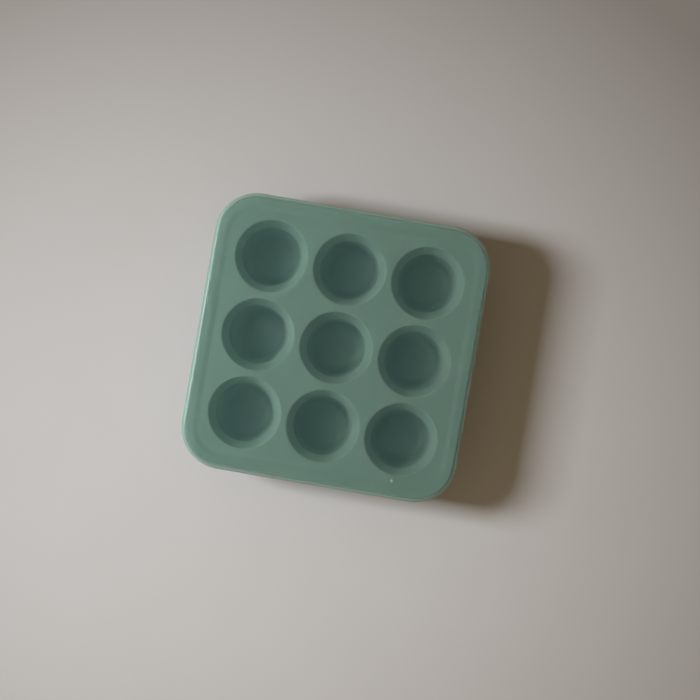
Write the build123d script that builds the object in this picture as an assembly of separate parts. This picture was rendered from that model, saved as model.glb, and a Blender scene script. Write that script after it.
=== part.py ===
from build123d import *
from math import ceil, pi, radians, sin, tan
import os

# A silicone freezer tray with nine round cups and a slip-on lid. The origin is under the middle cup, on the
# surface that the cups stand on, with +Z up. Millimetres.

# Cups. Each has a steep lower wall that holds the portion, and a flared lip above it.
CUPS_PER_SIDE = 3
CUP_PITCH = 51.0  # between the axes of neighbouring cups
CUP_DEPTH = 40.0  # from the deck down to the cup's floor
MOUTH_RADIUS = 23.5  # where the lip meets the deck
MOUTH_ROUNDING = 1.8
LIP_DEPTH = 10.0  # from the deck down to the neck
NECK_RADIUS = 18.9  # where the lip meets the steep wall
CUP_DRAFT = 3.0  # of the steep wall, in degrees from the vertical
CUP_CORNER = 6.0  # rounding inside, between the wall and the floor
CUP_WALL = 1.8  # measured along the radius
CUP_FLOOR = 1.6  # thin, so that a thumb can push a frozen portion out

# Deck and rim of the tray
DECK_THICKNESS = 2.2
RIM_ROUNDING = 1.2  # of the outer top edge
BEAD_WIDTH = 5.0  # a low bead that the lid seals on
BEAD_HEIGHT = 0.6  # above the deck
BEAD_ROUNDING = 0.4  # of the bead's inner edge
FLANGE_DEPTH = 11.0  # from the top of the bead down
FLANGE_WALL = 2.2
FLANGE_ROUNDING = 0.7  # of the flange's bottom edge

# Lid
LID_WIDTH = 180.0  # over the bottom edge of the skirt
LID_CORNER = 27.6  # corner radius there
LID_PANEL = 1.8
LID_SKIRT_WALL = 1.8
LID_SKIRT_DEPTH = 10.0  # from the top of the panel down
LID_EDGE = 2.4  # rounding of the top edge
LID_HEM = 0.6  # rounding of the skirt's bottom edge
NUB_RADIUS = 1.3  # gate mark on the panel
NUB_HEIGHT = 0.5
NUB_SHIFT = 50.2  # from the middle of the lid, along the edge that it is near
NUB_INSET = 11.9  # from that edge

# Mould and fit
SIDE_DRAFT = 2.0  # degrees from the vertical, on the flange and the skirt
LID_CLEARANCE = 0.35  # between the skirt and the flange

# Rounded corners are made of straight chords, which keeps the facets few
LONGEST_CHORD = 2.4

# Heights
DECK_TOP = CUP_FLOOR + CUP_DEPTH
DECK_UNDERSIDE = DECK_TOP - DECK_THICKNESS
NECK_HEIGHT = DECK_TOP - LIP_DEPTH
BEAD_TOP = DECK_TOP + BEAD_HEIGHT
FLANGE_BOTTOM = BEAD_TOP - FLANGE_DEPTH
LID_TOP = BEAD_TOP + LID_PANEL
LID_BOTTOM = LID_TOP - LID_SKIRT_DEPTH

# Insets from the lid's outer face, in the order in which the walls nest
FLANGE_INSET = LID_SKIRT_WALL + LID_CLEARANCE
HOLLOW_INSET = FLANGE_INSET + FLANGE_WALL
DECK_INSET = FLANGE_INSET + BEAD_WIDTH


def lean(height, draft):
    """How far a wall leans sideways over a height."""
    return height * tan(radians(draft))


def reach(inset, z):
    """From the middle out to a drafted wall that lies inset inside the lid's outer face, at height z."""
    return LID_WIDTH / 2 - inset - lean(z - LID_BOTTOM, SIDE_DRAFT)


def chords(before, corner, after, rounding):
    """Points along the arc that rounds a corner between two straight runs."""
    back, on = (before - corner).normalized(), (after - corner).normalized()
    opening = radians(back.get_angle(on))
    middle = corner + (back + on).normalized() * (rounding / sin(opening / 2))
    start = corner + back * (rounding / tan(opening / 2)) - middle
    end = corner + on * (rounding / tan(opening / 2)) - middle
    turn = pi - opening
    count = ceil(rounding * turn / LONGEST_CHORD)
    angles = [turn * k / count for k in range(count + 1)]
    return [middle + (start * sin(turn - angle) + end * sin(angle)) * (1 / sin(turn)) for angle in angles]


def section(corners):
    """An upright face through corners of the form (distance out, height, rounding)."""
    points = [Vector(out, z) for out, z, rounding in corners]
    outline = []
    for k, (out, z, rounding) in enumerate(corners):
        before, after = points[k - 1], points[(k + 1) % len(points)]
        outline += chords(before, points[k], after, rounding) if rounding else [points[k]]
    return Plane.XZ * make_face(Polyline(*outline, close=True))


def rimmed_plate(corners):
    """A flat rounded square plate in a rim, whose corners run from the plate's top to its underside."""
    plate_reach, plate_top, _ = corners[0]
    _, plate_bottom, _ = corners[-1]
    edge = RectangleRounded(LID_WIDTH, LID_WIDTH, LID_CORNER).wire()
    rim = sweep(section(corners), path=edge)
    plate_corner = LID_CORNER - (LID_WIDTH / 2 - plate_reach)
    plate = RectangleRounded(2 * plate_reach, 2 * plate_reach, plate_corner)
    return rim + extrude(Plane.XY.offset(plate_bottom) * plate, plate_top - plate_bottom)


def steep_wall(z):
    """Radius of a cup's inner wall at height z, below the neck."""
    return NECK_RADIUS - lean(NECK_HEIGHT - z, CUP_DRAFT)


def cup_shell():
    """The outside of one cup, up to the top of the deck."""
    corners = [
        (0, 0, 0),
        (steep_wall(0) + CUP_WALL, 0, CUP_CORNER + CUP_WALL),
        (NECK_RADIUS + CUP_WALL, NECK_HEIGHT, 0),
        (MOUTH_RADIUS + CUP_WALL, DECK_TOP, 0),
        (0, DECK_TOP, 0),
    ]
    return revolve(section(corners), Axis.Z)


def cup_cavity():
    """The inside of one cup, with its rounded mouth, open to above the bead."""
    clear = MOUTH_RADIUS + MOUTH_ROUNDING
    corners = [
        (0, CUP_FLOOR, 0),
        (steep_wall(CUP_FLOOR), CUP_FLOOR, CUP_CORNER),
        (NECK_RADIUS, NECK_HEIGHT, 0),
        (MOUTH_RADIUS, DECK_TOP, MOUTH_ROUNDING),
        (clear, DECK_TOP, 0),
        (clear, BEAD_TOP, 0),
        (0, BEAD_TOP, 0),
    ]
    return revolve(section(corners), Axis.Z)


def make_tray():
    """Deck, bead and flange in one, with the cups hung from the deck and hollowed out."""
    bead_inside = reach(DECK_INSET, BEAD_TOP)
    bead_foot = bead_inside - lean(BEAD_HEIGHT, SIDE_DRAFT)
    corners = [
        (bead_foot, DECK_TOP, 0),
        (bead_inside, BEAD_TOP, BEAD_ROUNDING),
        (reach(FLANGE_INSET, BEAD_TOP), BEAD_TOP, RIM_ROUNDING),
        (reach(FLANGE_INSET, FLANGE_BOTTOM), FLANGE_BOTTOM, FLANGE_ROUNDING),
        (reach(HOLLOW_INSET, FLANGE_BOTTOM), FLANGE_BOTTOM, FLANGE_ROUNDING),
        (reach(HOLLOW_INSET, DECK_UNDERSIDE), DECK_UNDERSIDE, 0),
        (bead_foot, DECK_UNDERSIDE, 0),
    ]
    body = rimmed_plate(corners)
    places = GridLocations(CUP_PITCH, CUP_PITCH, CUPS_PER_SIDE, CUPS_PER_SIDE)
    body += [place * cup_shell() for place in places]
    body -= [place * cup_cavity() for place in places]
    return body


def gate_nub():
    """A low dome on the panel, cut from a ball."""
    ball_radius = (NUB_RADIUS**2 + NUB_HEIGHT**2) / (2 * NUB_HEIGHT)
    centre = (NUB_SHIFT, NUB_INSET - LID_WIDTH / 2, LID_TOP + NUB_HEIGHT - ball_radius)
    return split(Pos(*centre) * Sphere(ball_radius), Plane.XY.offset(LID_TOP), keep=Keep.TOP)


def make_lid():
    """A flat panel and a drafted skirt in one, with the gate mark on top."""
    panel_reach = reach(LID_SKIRT_WALL + LID_EDGE, LID_TOP)
    corners = [
        (panel_reach, LID_TOP, 0),
        (reach(0, LID_TOP), LID_TOP, LID_EDGE),
        (reach(0, LID_BOTTOM), LID_BOTTOM, LID_HEM),
        (reach(LID_SKIRT_WALL, LID_BOTTOM), LID_BOTTOM, LID_HEM),
        (reach(LID_SKIRT_WALL, BEAD_TOP), BEAD_TOP, 0),
        (panel_reach, BEAD_TOP, 0),
    ]
    return rimmed_plate(corners) + gate_nub()


os.makedirs("parts", exist_ok=True)
for name, piece in {"tray": make_tray(), "lid": make_lid()}.items():
    piece.label = name
    export_step(piece, f"parts/{name}.step")
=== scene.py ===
# %% [markdown]
# A freezer tray for portions of baby food has two mouldings of silicone rubber: a tray with nine round cups
# hung from a thin deck, and a thin lid that slips over the tray's rim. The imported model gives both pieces
# at their real size and place, so everything here is measured from it and nothing is moved to fit.

# %% Load the frame
from math import acos, ceil, cos, pi, radians, sin, sqrt, tan

import bmesh
import bpy
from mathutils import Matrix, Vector


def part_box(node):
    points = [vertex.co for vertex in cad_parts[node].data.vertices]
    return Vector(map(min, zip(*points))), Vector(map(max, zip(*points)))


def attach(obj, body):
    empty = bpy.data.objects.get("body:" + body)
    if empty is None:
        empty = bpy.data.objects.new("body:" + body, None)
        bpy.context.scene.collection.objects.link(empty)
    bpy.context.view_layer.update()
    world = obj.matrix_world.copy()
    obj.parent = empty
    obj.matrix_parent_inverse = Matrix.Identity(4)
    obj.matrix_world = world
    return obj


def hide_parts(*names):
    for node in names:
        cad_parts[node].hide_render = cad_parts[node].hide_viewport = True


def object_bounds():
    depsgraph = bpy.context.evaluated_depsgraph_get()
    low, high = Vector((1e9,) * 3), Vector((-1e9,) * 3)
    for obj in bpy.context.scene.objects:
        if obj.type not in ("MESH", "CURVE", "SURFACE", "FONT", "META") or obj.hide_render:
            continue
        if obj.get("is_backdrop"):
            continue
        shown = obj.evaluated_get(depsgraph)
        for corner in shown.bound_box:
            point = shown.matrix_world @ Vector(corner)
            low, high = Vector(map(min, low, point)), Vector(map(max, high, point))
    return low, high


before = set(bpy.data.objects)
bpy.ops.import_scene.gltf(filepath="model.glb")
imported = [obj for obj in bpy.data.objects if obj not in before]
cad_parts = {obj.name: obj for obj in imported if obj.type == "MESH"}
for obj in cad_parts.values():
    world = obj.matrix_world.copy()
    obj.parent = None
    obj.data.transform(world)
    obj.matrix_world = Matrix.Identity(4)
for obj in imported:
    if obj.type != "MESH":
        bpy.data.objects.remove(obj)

cad_low, cad_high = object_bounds()
lid_low, lid_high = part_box("lid")
tray_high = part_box("tray")[1]
MM = 0.001
cad_extent = [round((high - low) / MM, 1) for low, high in zip(cad_low, cad_high)]
print("the whole object measures", cad_extent, "mm")

# %% [markdown]
# The sizes are the few that the mould maker chose. Heights come from the frame, and the rest follows from
# wall thicknesses and from the small clearance that lets the lid slip on. The lid's top edge is rounded a
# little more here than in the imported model, which widens the bright line along it.

# %% Sizes
LID_WIDTH = 180.0 * MM  # over the bottom edge of the skirt
LID_PANEL = 1.8 * MM
LID_WALL = 1.8 * MM
LID_EDGE = 3.2 * MM
LID_HEM = 0.6 * MM
LID_CORNER = 27.6 * MM
LID_CLEARANCE = 0.35 * MM
GATE_MARK_HEIGHT = 0.5 * MM
SIDE_DRAFT = radians(2)

DECK_THICKNESS = 2.2 * MM
BEAD_WIDTH = 5.0 * MM
BEAD_HEIGHT = 0.6 * MM
RIM_ROUNDING = 1.2 * MM
FLANGE_WALL = 2.2 * MM
FLANGE_DEPTH = 11.0 * MM
FLANGE_ROUNDING = 0.7 * MM

lid_top = lid_high.z - GATE_MARK_HEIGHT
lid_bottom = lid_low.z
bead_top = tray_high.z
deck_top = bead_top - BEAD_HEIGHT
deck_underside = deck_top - DECK_THICKNESS
flange_bottom = bead_top - FLANGE_DEPTH
hem_half_width = LID_WIDTH / 2
print("lid", round((lid_top - lid_bottom) / MM, 2), "mm deep, deck", round(deck_top / MM, 2), "mm up")

# %% [markdown]
# Both mouldings are drawn the way a tool room draws them: as a section with rounded corners. The rim and
# the lid run that section round a rounded square, and a cup turns it about its own axis. So one helper
# rounds a section's corners into short steps, and one tells how far out a drafted wall stands at a given
# height.

# %% Helpers for sections
STEP_TURN = radians(11)


def rounded(corners, closed=False):
    """Points of a section given as (distance out, height, rounding). A rounding becomes short steps."""
    spots = [Vector((out, height)) for out, height, rounding in corners]
    points = []
    for k, (out, height, rounding) in enumerate(corners):
        here, before, after = spots[k], spots[k - 1], spots[(k + 1) % len(spots)]
        if not rounding:
            points.append(here)
            continue
        back, on = (before - here).normalized(), (after - here).normalized()
        opening = acos(back.dot(on))
        centre = here + (back + on).normalized() * rounding / sin(opening / 2)
        start = here + back * rounding / tan(opening / 2) - centre
        end = here + on * rounding / tan(opening / 2) - centre
        turn = pi - opening
        steps = ceil(turn / STEP_TURN)
        for step in range(steps + 1):
            share = turn * step / steps
            points.append(centre + (start * sin(turn - share) + end * sin(share)) / sin(turn))
    return points


def reach(inset, height):
    """From the middle out to a drafted wall that stands inset inside the lid's outer face."""
    return hem_half_width - inset - (height - lid_bottom) * tan(SIDE_DRAFT)


print("the lid's top edge stands", round(reach(0, lid_top) / MM, 2), "mm from the middle")

# %% [markdown]
# Running a section round a rounded square gives rings of points, one ring for each point of the section.
# Where a point stands further in, its ring has a smaller corner, so walls keep their thickness round the
# bend. Neighbouring rings are then joined by faces.

# %% Helpers for meshes
CORNER_STEPS = 18
SAME_PLACE = 0.002 * MM  # points closer than this are merged


def square_ring(half_width, height):
    """Points of a rounded square, counted anticlockwise from the right."""
    corner = LID_CORNER - (hem_half_width - half_width)
    straight = half_width - corner
    ring = []
    for quarter in range(4):
        side_x, side_y = ((1, 1), (-1, 1), (-1, -1), (1, -1))[quarter]
        for step in range(CORNER_STEPS + 1):
            angle = pi / 2 * (quarter + step / CORNER_STEPS)
            x = side_x * straight + corner * cos(angle)
            y = side_y * straight + corner * sin(angle)
            ring.append((x, y, height))
    return ring


def join_rings(made, rings):
    """Joins each ring of points to the next with four-sided faces. Returns the rings' vertices."""
    laid = [[made.verts.new(point) for point in ring] for ring in rings]
    for lower, upper in zip(laid, laid[1:]):
        for k in range(len(lower)):
            made.faces.new((lower[k - 1], lower[k], upper[k], upper[k - 1]))
    return laid


def finish_mesh(made, name):
    """Turns worked geometry into an object whose faces point outwards."""
    bmesh.ops.remove_doubles(made, verts=made.verts, dist=SAME_PLACE)
    bmesh.ops.recalc_face_normals(made, faces=made.faces)
    mesh = bpy.data.meshes.new(name)
    made.to_mesh(mesh)
    made.free()
    mesh.polygons.foreach_set("use_smooth", [True] * len(mesh.polygons))
    piece = bpy.data.objects.new(name, mesh)
    bpy.context.scene.collection.objects.link(piece)
    return piece


print("a rounded square takes", 4 * (CORNER_STEPS + 1), "points")

# %% [markdown]
# The rim of the tray is a low bead that the lid seals on, and a flange that hangs down outside, which
# stiffens the soft tray and gives the lid something to grip. Inside, the bead runs down to the deck in one
# gentle slope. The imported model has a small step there. The section starts on the deck beside that slope
# and ends under it. It is left open there, because the deck closes it.

# %% Rim of the tray
flange_inset = LID_WALL + LID_CLEARANCE
bead_inside = reach(flange_inset + BEAD_WIDTH, bead_top)
BEAD_SLOPE = 3.0 * MM
BEAD_SLOPE_ROUNDING = 5.0 * MM
bead_foot = bead_inside - BEAD_SLOPE
FLANGE_ROOT_ROUNDING = 0.6 * MM
seam = bead_foot - 2 * FLANGE_ROOT_ROUNDING

rim_section = rounded([
    (seam, deck_top, 0),
    (bead_foot, deck_top, BEAD_SLOPE_ROUNDING),
    (bead_inside, bead_top, BEAD_SLOPE_ROUNDING),
    (reach(flange_inset, bead_top), bead_top, RIM_ROUNDING),
    (reach(flange_inset, flange_bottom), flange_bottom, FLANGE_ROUNDING),
    (reach(flange_inset + FLANGE_WALL, flange_bottom), flange_bottom, FLANGE_ROUNDING),
    (reach(flange_inset + FLANGE_WALL, deck_underside), deck_underside, FLANGE_ROOT_ROUNDING),
    (seam, deck_underside, 0),
])
rim_geometry = bmesh.new()
join_rings(rim_geometry, [square_ring(point.x, point.y) for point in rim_section])
rim = finish_mesh(rim_geometry, "tray_moulding")
print("the rim has", len(rim_section), "rings")

# %% [markdown]
# A cup is a surface of revolution, as the cutter that made its mould was. Its inside has a flared lip, a
# steep wall with a little draft so that a frozen portion slides out, and a well rounded foot. Its outside
# follows at the wall's thickness. The two are separate skins here, open at the deck, and the deck joins
# them.

# %% One cup
CUP_STEPS = 88
CUP_DRAFT = radians(3)
CUP_WALL = 1.8 * MM
CUP_FLOOR = 1.6 * MM
CUP_CORNER = 6.0 * MM
NECK_RADIUS = 18.9 * MM
NECK_ROUNDING = 2.0 * MM
LIP_DEPTH = 10.0 * MM
MOUTH_RADIUS = 23.3 * MM
MOUTH_ROUNDING = 1.3 * MM
ROOT_ROUNDING = 0.6 * MM
neck_height = deck_top - LIP_DEPTH
lip_lean = (MOUTH_RADIUS - NECK_RADIUS) / LIP_DEPTH


def steep_wall(height):
    """Radius of the steep wall's inside at a height."""
    return NECK_RADIUS - (neck_height - height) * tan(CUP_DRAFT)


inside = rounded([
    (0, CUP_FLOOR, 0),
    (steep_wall(CUP_FLOOR), CUP_FLOOR, CUP_CORNER),
    (NECK_RADIUS, neck_height, NECK_ROUNDING),
    (MOUTH_RADIUS, deck_top, MOUTH_ROUNDING),
    (MOUTH_RADIUS + 2 * MOUTH_ROUNDING, deck_top, 0),
])[:-1]
outside_at_deck = MOUTH_RADIUS + CUP_WALL - DECK_THICKNESS * lip_lean
outside = rounded([
    (0, 0, 0),
    (steep_wall(0) + CUP_WALL, 0, CUP_CORNER + CUP_WALL),
    (NECK_RADIUS + CUP_WALL, neck_height, NECK_ROUNDING),
    (outside_at_deck, deck_underside, ROOT_ROUNDING),
    (outside_at_deck + 2 * ROOT_ROUNDING, deck_underside, 0),
])[:-1]


def round_ring(radius, height):
    """Points of a circle about the cup's axis."""
    angles = [2 * pi * step / CUP_STEPS for step in range(CUP_STEPS)]
    return [(radius * cos(angle), radius * sin(angle), height) for angle in angles]


cup_geometry = bmesh.new()
for skin in (inside, outside):
    laid = join_rings(cup_geometry, [round_ring(point.x, point.y) for point in skin[1:]])
    cup_geometry.faces.new(laid[0])
cup = finish_mesh(cup_geometry, "cup")
slices = [pi * ((low.x + high.x) / 2) ** 2 * (high.y - low.y) for low, high in zip(inside, inside[1:])]
print("one cup has", len(cup.data.polygons), "faces and holds", round(sum(slices) * 1e6), "ml")

# %% [markdown]
# Nine cups on an even grid are a rule, so Geometry Nodes lay them out. The same tree closes the deck. It
# takes every open edge that lies at the level of the deck, which is the rim's inner ring and the nine
# mouths, turns those edges into curves and fills between them. The underside is closed in the same way at
# its own level. The rings keep their own points, so the seams meet exactly and can be merged.
#
# Both this tree and the materials are long lists of nodes, so one helper adds a node and fills its inputs.

# %% A small helper for node trees
def add_node(tree, kind, inputs=(), **settings):
    """Adds a node with its settings. Each input is set to a value, or linked to another node's output."""
    made = tree.nodes.new(kind)
    for name, value in settings.items():
        setattr(made, name, value)
    for socket, value in dict(inputs).items():
        if isinstance(value, bpy.types.NodeSocket):
            tree.links.new(value, made.inputs[socket])
        else:
            made.inputs[socket].default_value = value
    return made


# %% [markdown]
# The tree itself takes the cup, its pitch and the two levels as named inputs, so that the same tree would
# lay out a tray with more cups. An edge is open where only one face uses it, which is how the tree finds
# the rings to fill.

# %% The tree that lays out the cups and closes the deck
CUP_PITCH = 51.0 * MM
CUPS_PER_SIDE = 3
LEVEL_TOLERANCE = 0.01 * MM


def tree_input(tree, name, kind, default=None):
    """Adds a named input to a tree's interface."""
    made = tree.interface.new_socket(name, in_out="INPUT", socket_type=kind)
    if default is not None:
        made.default_value = default
    return made


def closed_level(tree, geometry, height):
    """Fills between the open edges that lie at a height, and returns the flat faces."""
    neighbours = add_node(tree, "GeometryNodeInputMeshEdgeNeighbors")
    is_open = add_node(
        tree, "FunctionNodeCompare", {2: neighbours.outputs[0], 3: 1}, data_type="INT", operation="EQUAL"
    )
    place = add_node(tree, "GeometryNodeInputPosition")
    axes = add_node(tree, "ShaderNodeSeparateXYZ", {0: place.outputs[0]})
    at_level = add_node(tree, "FunctionNodeCompare", {
        0: axes.outputs["Z"], 1: height, "Epsilon": LEVEL_TOLERANCE}, operation="EQUAL")
    both = add_node(tree, "FunctionNodeBooleanMath", {0: is_open.outputs[0], 1: at_level.outputs[0]})
    rings = add_node(tree, "GeometryNodeMeshToCurve", {"Mesh": geometry, "Selection": both.outputs[0]})
    flat = add_node(tree, "GeometryNodeFillCurve", {"Curve": rings.outputs[0]})
    lift = add_node(tree, "ShaderNodeCombineXYZ", {"Z": height})
    return add_node(tree, "GeometryNodeTransform", {
        "Geometry": flat.outputs[0], "Translation": lift.outputs[0]})


def cup_field_tree():
    """A tree for the rim: cups on a grid, a deck between them and an underside between their outsides."""
    tree = bpy.data.node_groups.new("cup_field", "GeometryNodeTree")
    tree_input(tree, "Rim", "NodeSocketGeometry")
    tree_input(tree, "Cup", "NodeSocketObject")
    tree_input(tree, "Pitch", "NodeSocketFloat")
    tree_input(tree, "Cups per side", "NodeSocketInt", 3)
    tree_input(tree, "Deck top", "NodeSocketFloat")
    tree_input(tree, "Deck underside", "NodeSocketFloat")
    tree_input(tree, "Material", "NodeSocketMaterial")
    tree.interface.new_socket("Tray", in_out="OUTPUT", socket_type="NodeSocketGeometry")
    given = add_node(tree, "NodeGroupInput").outputs
    gaps = add_node(tree, "ShaderNodeMath", {0: given["Cups per side"], 1: 1.0}, operation="SUBTRACT")
    span = add_node(tree, "ShaderNodeMath", {0: gaps.outputs[0], 1: given["Pitch"]}, operation="MULTIPLY")
    grid = add_node(tree, "GeometryNodeMeshGrid", {
        "Size X": span.outputs[0], "Size Y": span.outputs[0],
        "Vertices X": given["Cups per side"], "Vertices Y": given["Cups per side"]})
    pattern = add_node(tree, "GeometryNodeObjectInfo", {"Object": given["Cup"]})
    laid_out = add_node(tree, "GeometryNodeInstanceOnPoints", {
        "Points": grid.outputs["Mesh"], "Instance": pattern.outputs["Geometry"]})
    cups = add_node(tree, "GeometryNodeRealizeInstances", {"Geometry": laid_out.outputs[0]})
    open_parts = add_node(tree, "GeometryNodeJoinGeometry")
    tree.links.new(given["Rim"], open_parts.inputs[0])
    tree.links.new(cups.outputs[0], open_parts.inputs[0])
    deck = closed_level(tree, open_parts.outputs[0], given["Deck top"])
    underside = closed_level(tree, open_parts.outputs[0], given["Deck underside"])
    whole = add_node(tree, "GeometryNodeJoinGeometry")
    for part in (open_parts, deck, underside):
        tree.links.new(part.outputs[0], whole.inputs[0])
    merged = add_node(tree, "GeometryNodeMergeByDistance", {
        "Geometry": whole.outputs[0], "Distance": SAME_PLACE})
    real = add_node(tree, "GeometryNodeRealizeInstances", {"Geometry": merged.outputs[0]})
    coloured = add_node(tree, "GeometryNodeSetMaterial", {
        "Geometry": real.outputs[0], "Material": given["Material"]})
    result = add_node(tree, "NodeGroupOutput")
    tree.links.new(coloured.outputs[0], result.inputs[0])
    return tree


cup_field = cup_field_tree()
print("the cup field's tree has", len(cup_field.nodes), "nodes")

# %% [markdown]
# Colours are written as the sRGB hex values that a colour chart gives, and turned into the linear values
# that light is worked out in. One pair of helpers starts every material, so that each material cell holds
# only what is special about its finish.

# %% Helpers for materials
def linear(hex_colour):
    """Linear RGBA of an sRGB colour such as "#86a695"."""
    parts = [int(hex_colour[k:k + 2], 16) / 255 for k in (1, 3, 5)]
    return (*[part / 12.92 if part <= 0.04045 else ((part + 0.055) / 1.055) ** 2.4 for part in parts], 1)


def new_material(name):
    """An empty material and its node tree."""
    material = bpy.data.materials.new(name)
    material.use_nodes = True
    material.node_tree.nodes.clear()
    return material, material.node_tree


def waves_per_metre(size_mm):
    """Scale of a noise whose features are about this many millimetres across."""
    return 1 / (size_mm * MM)


print("sage green is", [round(part, 3) for part in linear("#86a695")[:3]], "in linear light")

# %% [markdown]
# The tray is platinum-cured silicone rubber, compression moulded against a bead-blasted steel tool. That
# gives the eye a soft matt green with no sharp reflections, a faint fine grain from the blasted steel, and
# a little light that travels inside the rubber, so thin walls glow instead of going black. The grain is
# really about 0.1 mm across, and it is drawn three times as coarse so that it shows. Pigment that flowed
# with the rubber leaves very broad, very faint clouds.

# %% Matt silicone of the tray
GRAIN_MM = 0.3
CLOUD_MM = 22.0


def matt_silicone():
    material, tree = new_material("matt_moulded_silicone")
    place = add_node(tree, "ShaderNodeTexCoord").outputs["Object"]
    clouds = add_node(tree, "ShaderNodeTexNoise", {
        "Vector": place, "Scale": waves_per_metre(CLOUD_MM), "Detail": 3.0})
    tint = add_node(tree, "ShaderNodeMix", {
        "Factor": clouds.outputs["Fac"], "A": linear("#9dae9b"), "B": linear("#a3b4a1")}, data_type="RGBA")
    grain = add_node(tree, "ShaderNodeTexNoise", {
        "Vector": place, "Scale": waves_per_metre(GRAIN_MM), "Detail": 2.0})
    relief = add_node(tree, "ShaderNodeBump", {
        "Strength": 0.12, "Distance": 0.05 * MM, "Height": grain.outputs["Fac"]})
    gloss = add_node(tree, "ShaderNodeMapRange", {
        "Value": clouds.outputs["Fac"], "To Min": 0.48, "To Max": 0.58})
    rubber = add_node(tree, "ShaderNodeBsdfPrincipled", {
        "Base Color": tint.outputs["Result"], "Roughness": gloss.outputs["Result"], "IOR": 1.41,
        "Subsurface Weight": 1.0, "Subsurface Radius": (1.0, 1.0, 1.0), "Subsurface Scale": 3.5 * MM,
        "Normal": relief.outputs["Normal"]})
    add_node(tree, "ShaderNodeOutputMaterial", {"Surface": rubber.outputs[0]})
    return material


tray_material = matt_silicone()
print("the tray's material has", len(tray_material.node_tree.nodes), "nodes")

# %% [markdown]
# Now the tree can run on the rim. Its inputs are set by their sockets' own identifiers before anything is
# evaluated, and the result is turned into one plain mesh. Merging and turning the faces outwards comes
# last, when the shell is whole, so that the inside of a wall and its outside can't be mistaken for each
# other.

# %% Make the tray
def run_tree(piece, tree, values):
    """Runs a tree on a piece and replaces the piece's mesh with the result."""
    modifier = piece.modifiers.new(tree.name, "NODES")
    modifier.node_group = tree
    sockets = {item.name: item.identifier for item in tree.interface.items_tree if item.in_out == "INPUT"}
    for name, value in values.items():
        modifier[sockets[name]] = value
    evaluated = piece.evaluated_get(bpy.context.evaluated_depsgraph_get())
    made = bpy.data.meshes.new_from_object(evaluated)
    piece.modifiers.remove(modifier)
    piece.data = made
    return made


tray_mesh = run_tree(rim, cup_field, {
    "Cup": cup, "Pitch": CUP_PITCH, "Cups per side": CUPS_PER_SIDE,
    "Deck top": deck_top, "Deck underside": deck_underside, "Material": tray_material})
bpy.data.objects.remove(cup)
whole = bmesh.new()
whole.from_mesh(tray_mesh)
bmesh.ops.remove_doubles(whole, verts=whole.verts, dist=SAME_PLACE)
bmesh.ops.recalc_face_normals(whole, faces=whole.faces)
open_edges = sum(len(edge.link_faces) != 2 for edge in whole.edges)
print("the tray has", len(whole.faces), "faces and", open_edges, "open edges")
print("its rubber fills", round(whole.calc_volume() * 1e6, 1), "ml")
whole.to_mesh(tray_mesh)
whole.free()
tray_mesh.polygons.foreach_set("use_smooth", [True] * len(tray_mesh.polygons))


def even_shading(piece):
    """Lets large flat faces decide the shading where they meet a small rounding."""
    shading = piece.modifiers.new("even_shading", "WEIGHTED_NORMAL")
    shading.keep_sharp = True


even_shading(rim)
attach(rim, "tray_body")
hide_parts("tray")

# %% [markdown]
# The lid is the same kind of rubber, moulded thin and with little pigment. Cloudy rubber does three things
# to light, and each has its own shader here. Part goes straight through the thin panel with a faint tint.
# Part is spread by the satin surface, as by frosted glass, so that the deep cups look soft. The rest is
# scattered by the haze inside the rubber, which sends some back as a thin teal veil and some on. A thin
# reflecting skin over it carries the sheen.
#
# How much is scattered depends on how much rubber the light crosses. Each vertex of the lid carries that
# depth, so the panel stays clear while the standing skirt, seen through its whole height, turns into a pale
# green line.

# %% Translucent silicone of the lid
HAZE_PER_SKIN = 0.105
GOES_ON_IN_PANEL = 0.52
GOES_ON_IN_SKIRT = 0.45
FROSTED_SHARE = 0.66
WAVINESS_MM = 35.0
SLANT = 2.5  # light from a low window crosses the skirt slantwise


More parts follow.
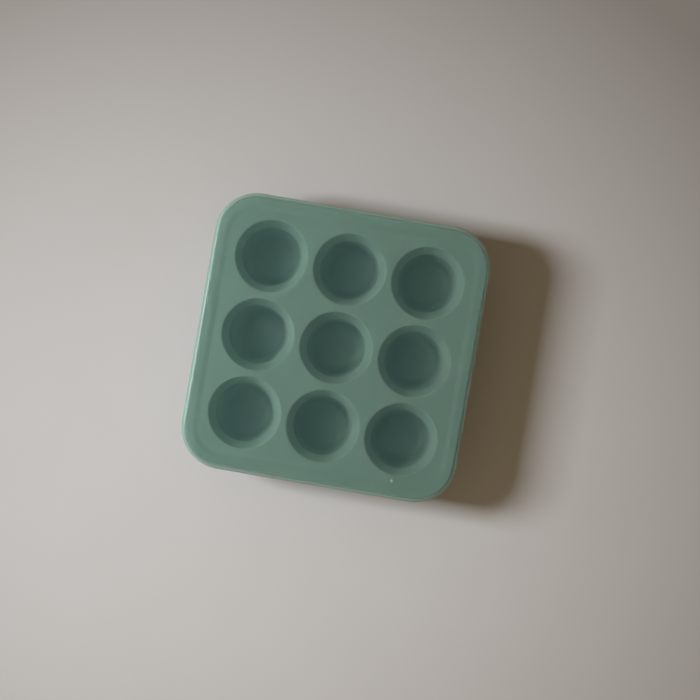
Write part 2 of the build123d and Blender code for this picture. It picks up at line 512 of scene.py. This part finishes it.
def translucent_silicone():
    material, tree = new_material("translucent_moulded_silicone")
    place = add_node(tree, "ShaderNodeTexCoord").outputs["Object"]
    swirls = add_node(tree, "ShaderNodeTexNoise", {
        "Vector": place, "Scale": waves_per_metre(WAVINESS_MM), "Detail": 3.0})
    depth = add_node(tree, "ShaderNodeAttribute", attribute_name="rubber_depth")
    panels = add_node(tree, "ShaderNodeMath", {0: depth.outputs["Fac"], 1: LID_PANEL}, operation="DIVIDE")
    clear_share = add_node(tree, "ShaderNodeMapRange", {
        "Value": swirls.outputs["Fac"], "To Min": 1 - HAZE_PER_SKIN * 0.9, "To Max": 1 - HAZE_PER_SKIN * 1.1})
    left_clear = add_node(
        tree, "ShaderNodeMath", {0: clear_share.outputs["Result"], 1: panels.outputs[0]}, operation="POWER")
    haze_share = add_node(tree, "ShaderNodeMath", {0: 1.0, 1: left_clear.outputs[0]}, operation="SUBTRACT")
    grain = add_node(tree, "ShaderNodeTexNoise", {
        "Vector": place, "Scale": waves_per_metre(GRAIN_MM), "Detail": 2.0})
    relief = add_node(tree, "ShaderNodeBump", {
        "Strength": 0.08, "Distance": 0.05 * MM, "Height": grain.outputs["Fac"]})
    how_deep = add_node(tree, "ShaderNodeMapRange", {
        "Value": depth.outputs["Fac"], "From Min": LID_PANEL, "From Max": 3 * LID_PANEL})
    back_colour = add_node(tree, "ShaderNodeMix", {
        "Factor": how_deep.outputs["Result"],
        "A": linear("#1a8ea8"), "B": linear("#a2b69b")}, data_type="RGBA")
    sent_back = add_node(tree, "ShaderNodeBsdfDiffuse", {"Color": back_colour.outputs["Result"]})
    sent_on = add_node(tree, "ShaderNodeBsdfTranslucent", {"Color": linear("#a0eded")})
    sheen = add_node(tree, "ShaderNodeBsdfGlossy", {
        "Color": linear("#f0f0ee"), "Roughness": 0.34, "Normal": relief.outputs["Normal"]})
    skin = add_node(tree, "ShaderNodeFresnel", {"IOR": 1.3, "Normal": relief.outputs["Normal"]})
    goes_on = add_node(tree, "ShaderNodeMapRange", {
        "Value": how_deep.outputs["Result"], "To Min": GOES_ON_IN_PANEL, "To Max": GOES_ON_IN_SKIRT})
    scattered = add_node(tree, "ShaderNodeMixShader", {
        0: goes_on.outputs["Result"], 1: sent_back.outputs[0], 2: sent_on.outputs[0]})
    clear = add_node(tree, "ShaderNodeBsdfTransparent", {"Color": linear("#fafcfb")})
    frosted = add_node(tree, "ShaderNodeBsdfRefraction", {
        "Color": linear("#fcfefd"), "Roughness": 0.25, "IOR": 1.41})
    seen_through = add_node(tree, "ShaderNodeMixShader", {
        0: FROSTED_SHARE, 1: clear.outputs[0], 2: frosted.outputs[0]})
    body = add_node(tree, "ShaderNodeMixShader", {
        0: haze_share.outputs[0], 1: seen_through.outputs[0], 2: scattered.outputs[0]})
    glossed = add_node(tree, "ShaderNodeMixShader", {
        0: skin.outputs[0], 1: body.outputs[0], 2: sheen.outputs[0]})
    add_node(tree, "ShaderNodeOutputMaterial", {"Surface": glossed.outputs[0]})
    return material


lid_material = translucent_silicone()
print("the lid's material has", len(lid_material.node_tree.nodes), "nodes")

# %% [markdown]
# The lid's section is a flat panel that turns down into a skirt. The rings start on the flat of the top, a
# little inside its rounded edge, and end under the panel. One large face closes each end, so the lid is one
# closed skin.
#
# Under the panel a film of air is left above the bead. Faces of two pieces that share a place would render
# as a dark ring, because light has to leave the one before it meets the other.

# %% Make the lid
AIR_GAP = 0.06 * MM
FLAT_STARTS = 2 * LID_EDGE
STEEP_SHARE_OF_EDGE = 0.8
panel_underside = bead_top + AIR_GAP
lid_section = rounded([
    (reach(FLAT_STARTS, lid_top), lid_top, 0),
    (reach(0, lid_top), lid_top, LID_EDGE),
    (reach(0, lid_bottom), lid_bottom, LID_HEM),
    (reach(LID_WALL, lid_bottom), lid_bottom, LID_HEM),
    (reach(LID_WALL, panel_underside), panel_underside, LID_HEM),
    (reach(LID_WALL + FLAT_STARTS, panel_underside), panel_underside, 0),
])


def rubber_below(point):
    """How much rubber light crosses below a point of the top: the whole skirt, or only the panel."""
    on_rounded_edge = point.y > lid_top - STEEP_SHARE_OF_EDGE * LID_EDGE
    over_skirt = on_rounded_edge and point.x > reach(LID_WALL, point.y)
    return SLANT * (point.y - lid_bottom) if over_skirt else LID_PANEL


lid_geometry = bmesh.new()
depth_layer = lid_geometry.verts.layers.float.new("rubber_depth")
lid_rings = join_rings(lid_geometry, [square_ring(point.x, point.y) for point in lid_section])
for ring, point in zip(lid_rings, lid_section):
    for vertex in ring:
        vertex[depth_layer] = rubber_below(point)
lid_geometry.faces.new(lid_rings[0])
lid_geometry.faces.new(lid_rings[-1])
lid = finish_mesh(lid_geometry, "lid_moulding")
lid.data.materials.append(lid_material)
even_shading(lid)
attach(lid, "lid_body")
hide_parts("lid")
print("the lid has", len(lid.data.polygons), "faces")

# %% [markdown]
# Rubber enters the lid's mould through one small gate, and the torn stub is trimmed to a low round pip near
# an edge. It is a shallow dome, turned about its own axis and closed underneath. A hair's breadth parts it
# from the panel, so that no two faces share a place. Torn rubber is crazed inside, so it scatters light and
# looks paler than the clear panel round it.

# %% Gate mark
GATE_MARK_RADIUS = 1.3 * MM
GATE_MARK_PLACE = Vector((50.2 * MM, -78.1 * MM, 0))
GATE_MARK_LIFT = 0.03 * MM
CRAZING_MM = 0.5
DOME_STEPS = 8
EVERY_FOURTH = 4  # the dome is small, so it takes only these points of a cup's ring
dome_height = GATE_MARK_HEIGHT - GATE_MARK_LIFT
ball = (GATE_MARK_RADIUS**2 + dome_height**2) / (2 * dome_height)


def torn_silicone():
    material, tree = new_material("torn_silicone")
    place = add_node(tree, "ShaderNodeTexCoord").outputs["Object"]
    crazing = add_node(tree, "ShaderNodeTexNoise", {
        "Vector": place, "Scale": waves_per_metre(CRAZING_MM), "Detail": 2.0})
    tint = add_node(tree, "ShaderNodeMix", {
        "Factor": crazing.outputs["Fac"], "A": linear("#78948a"), "B": linear("#8fa99e")}, data_type="RGBA")
    relief = add_node(tree, "ShaderNodeBump", {
        "Strength": 0.3, "Distance": 0.05 * MM, "Height": crazing.outputs["Fac"]})
    rubber = add_node(tree, "ShaderNodeBsdfPrincipled", {
        "Base Color": tint.outputs["Result"], "Roughness": 0.35, "IOR": 1.41,
        "Normal": relief.outputs["Normal"]})
    add_node(tree, "ShaderNodeOutputMaterial", {"Surface": rubber.outputs[0]})
    return material


def dome_ring(step):
    """One ring of the dome, counted from its top."""
    depth = dome_height * (step / DOME_STEPS) ** 2
    ring = round_ring(sqrt(2 * ball * depth - depth**2), lid_top + GATE_MARK_HEIGHT - depth)
    return [Vector(point) + GATE_MARK_PLACE for point in ring[::EVERY_FOURTH]]


mark_geometry = bmesh.new()
mark_rings = join_rings(mark_geometry, [dome_ring(step) for step in range(DOME_STEPS, 0, -1)])
mark_geometry.faces.new(mark_rings[0])
mark_geometry.faces.new(mark_rings[-1])
gate_mark = finish_mesh(mark_geometry, "lid_gate_mark")
gate_mark.data.materials.append(torn_silicone())
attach(gate_mark, "lid_body")
print("the gate mark has", len(gate_mark.data.polygons), "faces")

# %% [markdown]
# The tray stands on a plain sheet of warm grey board. The board is only a stage, so it isn't part of the
# object. It is a grid that is large enough to fill the view, with a very faint mottling like that of
# uncoated board. Its colour carries a painted pool of light: palest in front of the tray, it is painted
# darker with the square of the distance. This painted falloff of light is not a property of the board.

# %% Floor
FLOOR_HALF = 3.0
MOTTLE_MM = 60.0
# Centre and reach of the pool of light that is painted on the board.
PAINTED_POOL_CENTRE = (7 * MM, -112 * MM, 0)
PAINTED_FALLOFF_LENGTH = 232 * MM
BELOW_CUPS = 0.05 * MM  # a hair lower than the cups' floors, so that no two faces share a place


def board_with_painted_falloff():
    material, tree = new_material("uncoated_board_painted_falloff")
    place = add_node(tree, "ShaderNodeTexCoord").outputs["Object"]
    mottle = add_node(tree, "ShaderNodeTexNoise", {
        "Vector": place, "Scale": waves_per_metre(MOTTLE_MM), "Detail": 4.0})
    tint = add_node(tree, "ShaderNodeMix", {
        "Factor": mottle.outputs["Fac"], "A": linear("#bfbcb7"), "B": linear("#c3c0bb")}, data_type="RGBA")
    # Painted light falloff: the colour is mixed towards a darker warm grey with the square of the distance
    # from the painted pool of light.
    away = add_node(tree, "ShaderNodeVectorMath", {0: place, 1: PAINTED_POOL_CENTRE}, operation="DISTANCE")
    widths = add_node(tree, "ShaderNodeMath", {0: away.outputs["Value"], 1: PAINTED_FALLOFF_LENGTH}, operation="DIVIDE")
    squared = add_node(tree, "ShaderNodeMath", {0: widths.outputs[0], 1: 2.0}, operation="POWER")
    painted_falloff = add_node(tree, "ShaderNodeMapRange", {"Value": squared.outputs[0], "From Max": 3.0})
    painted_shaded = add_node(tree, "ShaderNodeMix", {
        "Factor": painted_falloff.outputs["Result"],
        "A": tint.outputs["Result"], "B": linear("#88827b")}, data_type="RGBA")
    board = add_node(tree, "ShaderNodeBsdfPrincipled", {
        "Base Color": painted_shaded.outputs["Result"], "Roughness": 0.9})
    add_node(tree, "ShaderNodeOutputMaterial", {"Surface": board.outputs[0]})
    return material


floor_geometry = bmesh.new()
bmesh.ops.create_grid(floor_geometry, x_segments=8, y_segments=8, size=FLOOR_HALF)
bmesh.ops.translate(floor_geometry, verts=floor_geometry.verts, vec=(0, 0, -BELOW_CUPS))
floor = finish_mesh(floor_geometry, "floor")
floor.data.materials.append(board_with_painted_falloff())
floor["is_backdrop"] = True
print("the floor is", 2 * FLOOR_HALF, "m wide")

# %% [markdown]
# The camera looks straight down from a metre and a half above the lid, turned a few degrees about the
# vertical. The lens is worked out from that distance and from the width of floor that the view takes in,
# and a small shift puts the tray slightly off the middle.

# %% Camera
FRAME_PIXELS = 700
MM_PER_PIXEL = 0.6422  # in the plane of the lid's top
CAMERA_ABOVE_LID = 1.5
CAMERA_TURN = radians(9.82)
TRAY_CENTRE_PIXEL = (336.0, 347.8)
SENSOR_MM = 36.0

camera = bpy.data.objects.new("camera", bpy.data.cameras.new("camera"))
bpy.context.scene.collection.objects.link(camera)
camera.location = (0, 0, lid_top + CAMERA_ABOVE_LID)
camera.rotation_euler = (0, 0, CAMERA_TURN)
camera.data.sensor_width = SENSOR_MM
camera.data.lens = SENSOR_MM * CAMERA_ABOVE_LID / (FRAME_PIXELS * MM_PER_PIXEL * MM)
camera.data.shift_x = (FRAME_PIXELS / 2 - TRAY_CENTRE_PIXEL[0]) / FRAME_PIXELS
camera.data.shift_y = (TRAY_CENTRE_PIXEL[1] - FRAME_PIXELS / 2) / FRAME_PIXELS
bpy.context.scene.camera = camera
print("the lens is", round(camera.data.lens), "mm")

# %% [markdown]
# One soft cool light stands at the left, like a narrow window, and the room fills the shadow with a dim
# warm glow. A narrow window darkens the board beside the tray's upper and lower edges less than a wide one
# does. It is taller than it is wide, so the shadow's far edge is softer than its ends.

# %% Light
WINDOW_ELEVATION = radians(40)
WINDOW_AZIMUTH = radians(1)
WINDOW_DISTANCE = 1.5
WINDOW_SIZE = (0.35, 0.5)
WINDOW_POWER = 29.5

window = bpy.data.objects.new("window", bpy.data.lights.new("window", "AREA"))
bpy.context.scene.collection.objects.link(window)
level = cos(WINDOW_ELEVATION)
towards_window = Vector((
    -level * cos(WINDOW_AZIMUTH), -level * sin(WINDOW_AZIMUTH), sin(WINDOW_ELEVATION)))
window.location = towards_window * WINDOW_DISTANCE
window.rotation_euler = towards_window.to_track_quat("Z", "Y").to_euler()
window.data.shape = "RECTANGLE"
window.data.size, window.data.size_y = WINDOW_SIZE
window.data.energy = WINDOW_POWER
window.data.color = linear("#eef4ff")[:3]

world = bpy.data.worlds.new("room")
world.use_nodes = True
world.node_tree.nodes["Background"].inputs["Color"].default_value = linear("#f2d8b2")
world.node_tree.nodes["Background"].inputs["Strength"].default_value = 0.29
bpy.context.scene.world = world
bpy.context.scene.view_settings.view_transform = "Standard"
print("the window stands", WINDOW_DISTANCE, "m away")

# %% [markdown]
# Last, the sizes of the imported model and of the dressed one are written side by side, so that they can be
# compared.

# %% Sizes and finish
seen_low, seen_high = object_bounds()
seen_extent = [round((high - low) / MM, 1) for low, high in zip(seen_low, seen_high)]
print("the dressed object measures", seen_extent, "mm")
